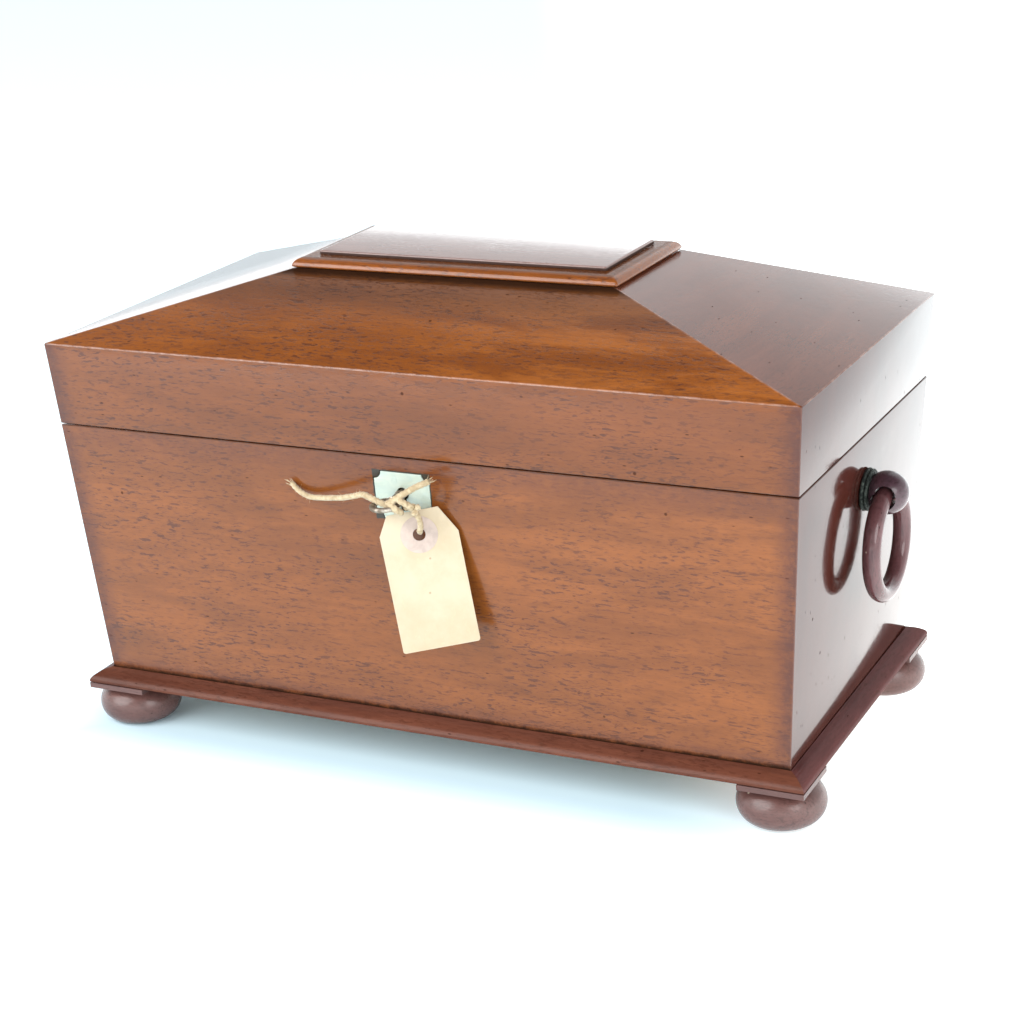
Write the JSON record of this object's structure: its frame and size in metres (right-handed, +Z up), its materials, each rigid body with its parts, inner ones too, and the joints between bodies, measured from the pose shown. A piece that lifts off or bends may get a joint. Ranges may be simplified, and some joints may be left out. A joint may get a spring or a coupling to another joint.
{
  "type": "tea caddy",
  "caption": "Hipped-lid wooden tea caddy on turned bun feet with ring handles at its ends, lidded compartments, a glass mixing bowl, a lock and its tagged key.",
  "frame": {"origin": "middle of the bottom of the overall box without the tag and its twine: on the surface that the feet stand on", "axes": "+X to the right along the front, +Y from the keyhole side to the hinge side, +Z up"},
  "size_m": [0.3692, 0.1952, 0.21],
  "materials": {
    "mahogany": "French-polished mahogany, high gloss, worn arrises",
    "turned_mahogany": "turned dark mahogany, French polish",
    "cedar": "unpolished softwood and cedar, matt",
    "shell": "bone or mother-of-pearl, polished",
    "bronze": "brass darkened to green-black",
    "brass": "aged lacquered brass",
    "steel": "worn grey-brown steel",
    "foil": "dull tinned lead foil",
    "bone": "turned bone, satin",
    "glass": "clear blown glass",
    "paper": "cream card, slightly soiled",
    "twine": "natural twisted jute twine"
  },
  "bodies": {
    "case": {"front_board": "mahogany", "front_base_moulding": "mahogany", "right_end_board": "mahogany", "right_base_moulding": "mahogany", "back_board": "mahogany", "back_base_moulding": "mahogany", "left_end_board": "mahogany", "left_base_moulding": "mahogany", "front_left_pad": "mahogany", "front_left_foot": "turned_mahogany", "front_right_pad": "mahogany", "front_right_foot": "turned_mahogany", "back_left_pad": "mahogany", "back_left_foot": "turned_mahogany", "back_right_pad": "mahogany", "back_right_foot": "turned_mahogany", "bottom_board": "cedar", "lock_case": "brass", "lock_drill_pin": "steel", "escutcheon": "shell", "bowl_board": "mahogany", "left_handle_boss": "turned_mahogany", "left_handle_collar": "bronze", "left_hinge_case_leaf": "brass", "left_hinge_pin": "brass", "left_partition": "mahogany", "left_foil_liner": "foil", "right_handle_boss": "turned_mahogany", "right_handle_collar": "bronze", "right_hinge_case_leaf": "brass", "right_hinge_pin": "brass", "right_partition": "mahogany", "right_foil_liner": "foil"},
    "lid": {"lid_front_rim": "mahogany", "lid_right_rim": "mahogany", "lid_back_rim": "mahogany", "lid_left_rim": "mahogany", "lid_front_slope": "mahogany", "lid_right_slope": "mahogany", "lid_back_slope": "mahogany", "lid_left_slope": "mahogany", "top_moulding": "mahogany", "top_tablet": "mahogany", "link_plate": "brass", "left_hinge_lid_leaf": "brass", "right_hinge_lid_leaf": "brass"},
    "lock_bolt": {"lock_bolt": "brass"},
    "key": {"key": "steel"},
    "left_ring": {"left_handle_ring": "turned_mahogany"},
    "right_ring": {"right_handle_ring": "turned_mahogany"},
    "left_compartment_cover": {"left_compartment_lid": "mahogany", "left_compartment_knob": "bone"},
    "right_compartment_cover": {"right_compartment_lid": "mahogany", "right_compartment_knob": "bone"},
    "bowl": {"glass_bowl": "glass"},
    "tag": {"paper_tag": "paper", "tag_twine": "twine"}
  },
  "joints": [
    {"name": "lid_hinge", "type": "hinge", "parent": "case", "child": "lid", "pos_m": [0, 0.09542, 0.1417], "axis": [-1, 0, 0], "range_deg": [0, 100]},
    {"name": "key_turn", "type": "hinge", "parent": "case", "child": "key", "pos_m": [-0.0013, -0.07518, 0.126], "axis": [0, 1, 0], "range_deg": [-90, 270]},
    {"name": "bolt_throw", "type": "slide", "parent": "case", "child": "lock_bolt", "axis": [1, 0, 0], "range_m": [-0.00165, 0.00485]},
    {"name": "left_ring_swing", "type": "hinge", "parent": "case", "child": "left_ring", "pos_m": [-0.17563, 0.00882, 0.1168], "axis": [0, 1, 0], "range_deg": [-8, 120]},
    {"name": "right_ring_swing", "type": "hinge", "parent": "case", "child": "right_ring", "pos_m": [0.17563, 0.00882, 0.1168], "axis": [0, -1, 0], "range_deg": [-8, 120]},
    {"name": "left_cover_lift", "type": "slide", "parent": "case", "child": "left_compartment_cover", "axis": [0, 0, 1], "range_m": [0, 0.025]},
    {"name": "right_cover_lift", "type": "slide", "parent": "case", "child": "right_compartment_cover", "axis": [0, 0, 1], "range_m": [0, 0.025]},
    {"name": "bowl_lift", "type": "slide", "parent": "case", "child": "bowl", "axis": [0, 0, 1], "range_m": [0, 0.025]},
    {"name": "tag_swing", "type": "hinge", "parent": "case", "child": "tag", "pos_m": [-0.0013, -0.08918, 0.126], "axis": [0, 1, 0], "range_deg": [-25, 8]}
  ],
  "couplings": [
    {"joint": "bolt_throw", "follows": "key_turn", "m_per_rad": 0.0010186}
  ]
}
